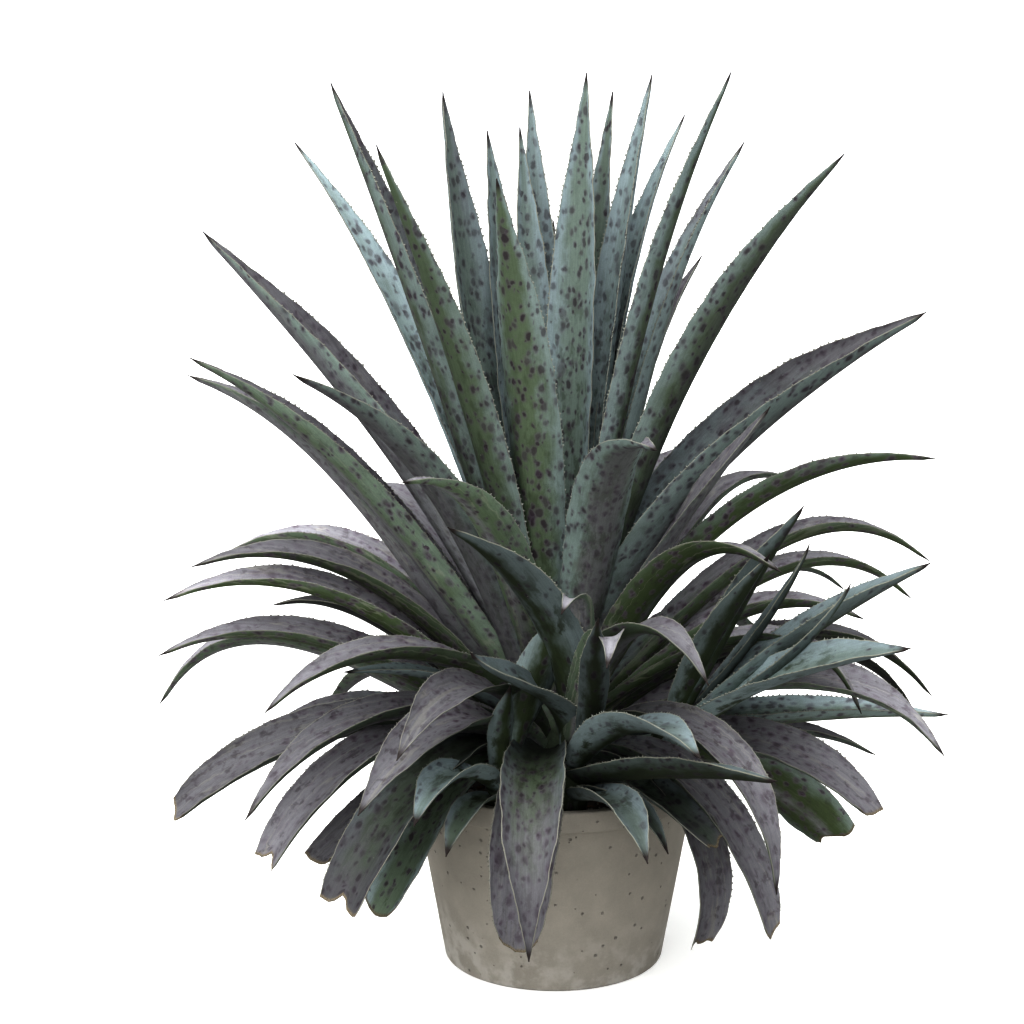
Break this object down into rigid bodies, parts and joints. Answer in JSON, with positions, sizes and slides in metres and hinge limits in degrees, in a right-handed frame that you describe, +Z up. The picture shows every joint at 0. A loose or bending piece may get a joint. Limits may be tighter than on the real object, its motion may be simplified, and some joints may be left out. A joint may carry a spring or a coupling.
{
  "type": "potted succulent",
  "caption": "Spotted rosette succulent of long channelled leaves with young plants round its foot, growing in a plain tapered pot that stands flat on a floor or shelf.",
  "frame": {"origin": "middle of the pot's foot, where it stands", "axes": "+Z up; -Y towards the front, the side that the picture shows; +X to the right seen from the front"},
  "size_m": [0.8075, 0.6815, 0.8982],
  "materials": {
    "pot": "cast cement, fine pitted, matt",
    "soil": "gritty potting mix, matt",
    "leaf_upright": "waxy leaf, green to blue-grey with dark spots",
    "leaf_spreading": "waxy leaf, grey-green and mauve with dark spots",
    "leaf_hanging": "waxy leaf, mauve-grey above, dark olive at the margins below",
    "leaf_offset": "waxy leaf, blue-green with dark mottling"
  },
  "bodies": {
    "root": {"pot": "pot", "soil": "soil", "crown": "leaf_upright", "leaf_01": "leaf_upright", "leaf_02": "leaf_upright", "leaf_03": "leaf_upright", "leaf_04": "leaf_upright", "leaf_05": "leaf_upright", "leaf_06": "leaf_upright", "leaf_07": "leaf_upright", "leaf_08": "leaf_upright", "leaf_09": "leaf_upright", "leaf_10": "leaf_upright", "leaf_11": "leaf_upright", "leaf_12": "leaf_upright", "leaf_13": "leaf_upright", "leaf_14": "leaf_upright", "leaf_15": "leaf_spreading", "leaf_16": "leaf_spreading", "leaf_17": "leaf_spreading", "leaf_18": "leaf_spreading", "leaf_19": "leaf_spreading", "leaf_20": "leaf_spreading", "leaf_21": "leaf_spreading", "leaf_22": "leaf_spreading", "leaf_23": "leaf_spreading", "leaf_24": "leaf_spreading", "leaf_25": "leaf_spreading", "leaf_26": "leaf_spreading", "leaf_27": "leaf_spreading", "leaf_28": "leaf_spreading", "leaf_29": "leaf_spreading", "leaf_30": "leaf_spreading", "leaf_31": "leaf_spreading", "leaf_32": "leaf_spreading", "leaf_33": "leaf_spreading", "leaf_34": "leaf_hanging", "leaf_35": "leaf_hanging", "leaf_36": "leaf_hanging", "leaf_37": "leaf_hanging", "leaf_38": "leaf_hanging", "leaf_39": "leaf_hanging", "leaf_40": "leaf_hanging", "leaf_41": "leaf_hanging", "leaf_42": "leaf_hanging", "leaf_43": "leaf_hanging", "leaf_44": "leaf_hanging", "leaf_45": "leaf_hanging", "leaf_46": "leaf_hanging", "leaf_47": "leaf_hanging", "leaf_48": "leaf_hanging", "leaf_49": "leaf_hanging", "leaf_50": "leaf_hanging", "offset_1": "leaf_offset", "offset_2": "leaf_offset", "offset_3": "leaf_offset", "offset_4": "leaf_offset", "offset_5": "leaf_offset"}
  },
  "joints": []
}
